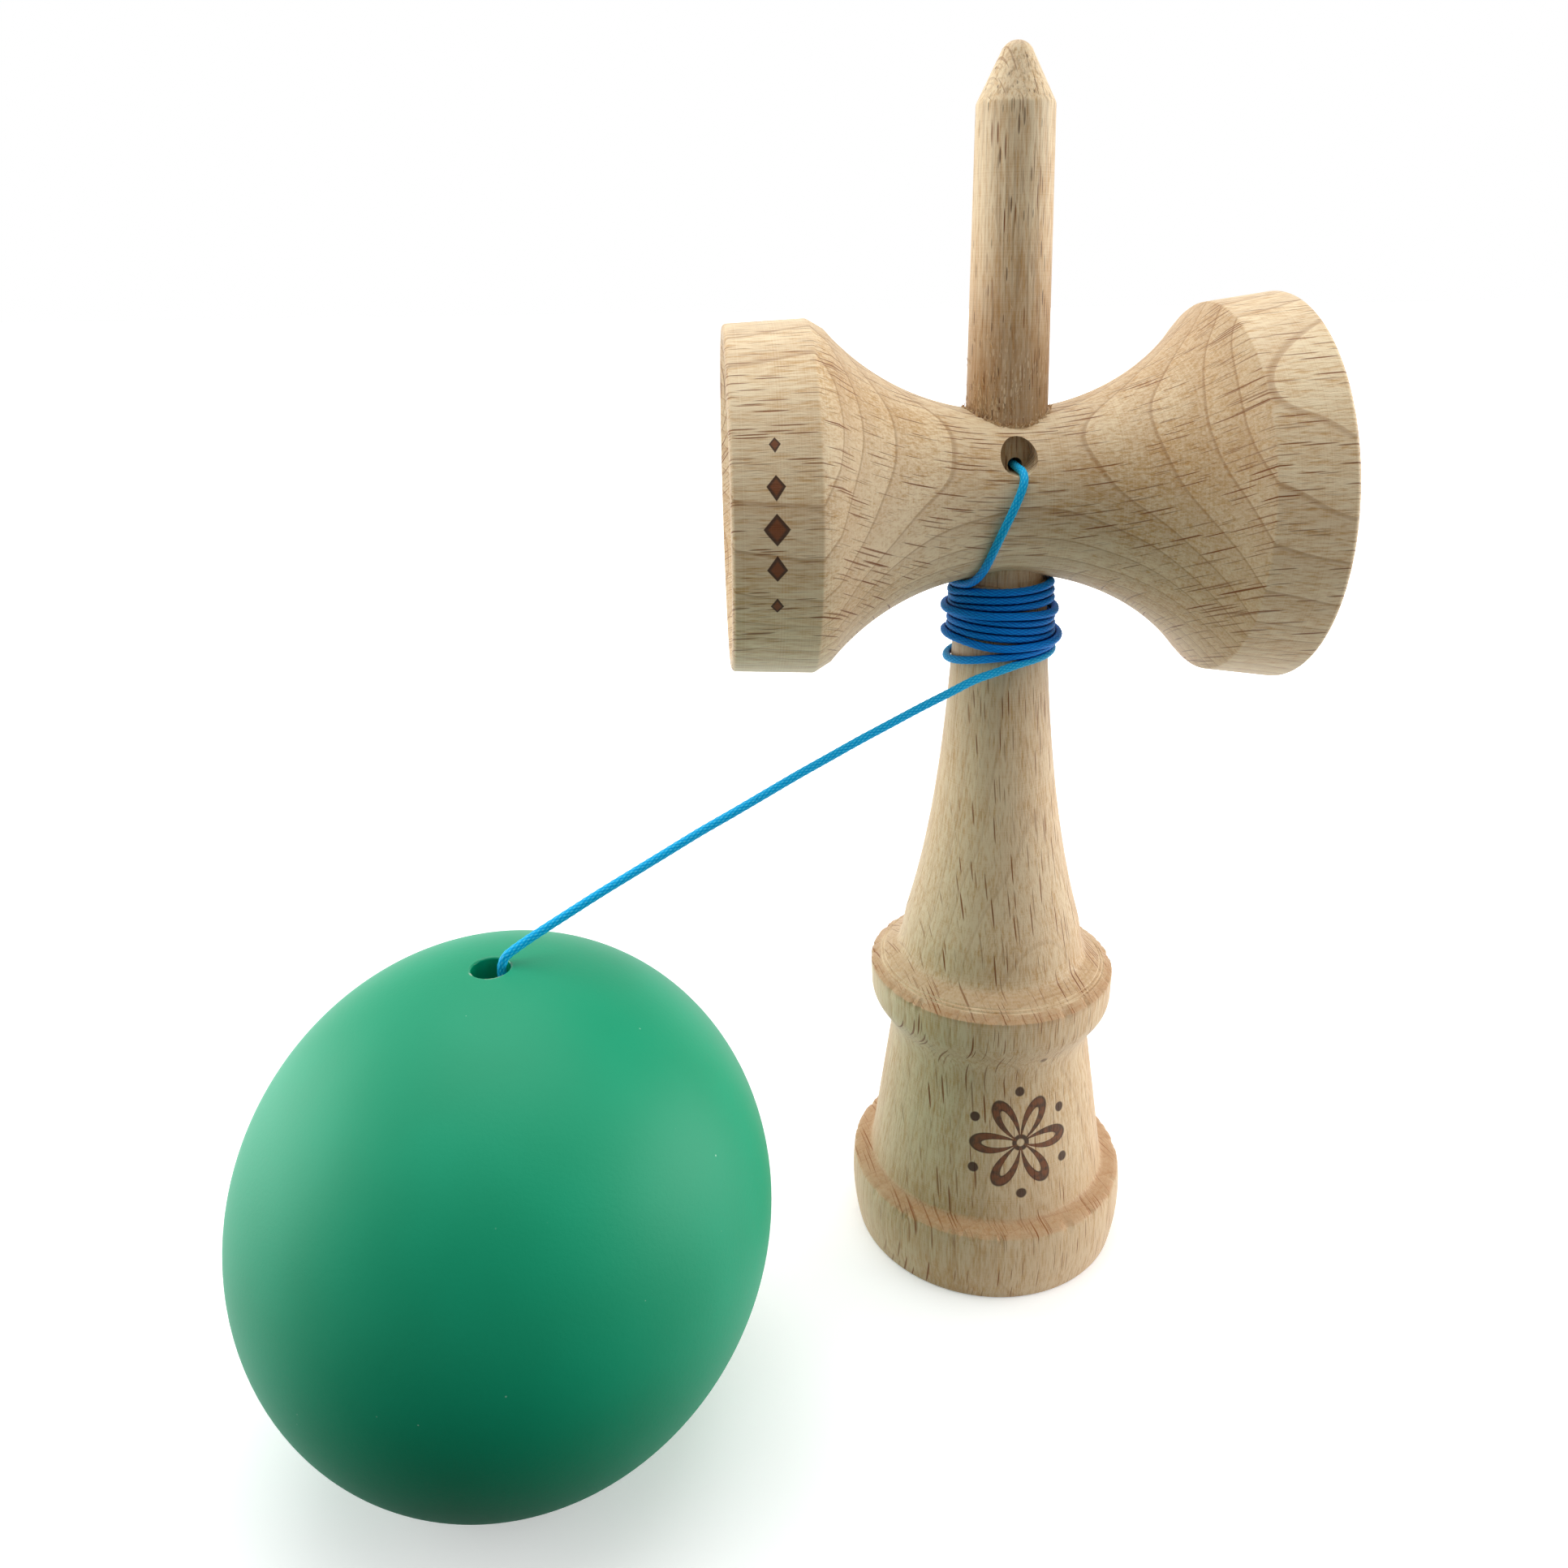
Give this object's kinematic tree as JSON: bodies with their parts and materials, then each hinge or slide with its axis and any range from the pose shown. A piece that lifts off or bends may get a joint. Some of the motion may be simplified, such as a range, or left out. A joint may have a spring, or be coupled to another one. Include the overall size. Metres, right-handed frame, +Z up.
{
  "type": "kendama",
  "caption": "Wooden cup-and-ball toy: a turned spiked handle with a crosspiece of two cups and a base cup, and a painted ball on a cord.",
  "frame": {"origin": "centre of the ken's base cup rim, on the table that the toy stands on", "axes": "+Z up the ken's axis to the spike, +X along the crosspiece to the larger cup, -Y the side the cord comes out of"},
  "size_m": [0.1254, 0.0821, 0.156],
  "materials": {
    "beech_ken": "bare sanded beech",
    "beech_sarado": "bare sanded beech",
    "ball_paint": "matte paint",
    "bead_wood": "bare",
    "cord": "braided"
  },
  "bodies": {
    "ken": {"ken": "beech_ken", "sarado": "beech_sarado", "ken_knot": "cord", "cord_lead": "cord", "cord_winding": "cord"},
    "cord_bend": {"cord_bend": "cord"},
    "cord_span": {"cord_span": "cord"},
    "cord_tail": {"cord_tail": "cord", "bead": "bead_wood", "bead_knot": "cord"},
    "tama": {"tama": "ball_paint"}
  },
  "joints": [
    {"name": "cord_swing", "type": "hinge", "parent": "ken", "child": "cord_bend", "pos_m": [0.0001, -0.007, 0.0834], "axis": [0, 0, 1], "range_deg": [-5, 90]},
    {"name": "cord_lift", "type": "hinge", "parent": "cord_bend", "child": "cord_span", "pos_m": [-0.0051, -0.0088, 0.0824], "axis": [-0.318, 0.9481, 0], "range_deg": [-10, 20]},
    {"name": "tama_tilt", "type": "hinge", "parent": "cord_span", "child": "cord_tail", "pos_m": [-0.0591, -0.0272, 0.0599], "axis": [-0.318, 0.9481, 0], "range_deg": [-12, 60]},
    {"name": "tama_spin", "type": "hinge", "parent": "cord_tail", "child": "tama", "pos_m": [-0.0619, -0.0281, 0.0283], "axis": [0, 0, 1], "continuous": true}
  ]
}
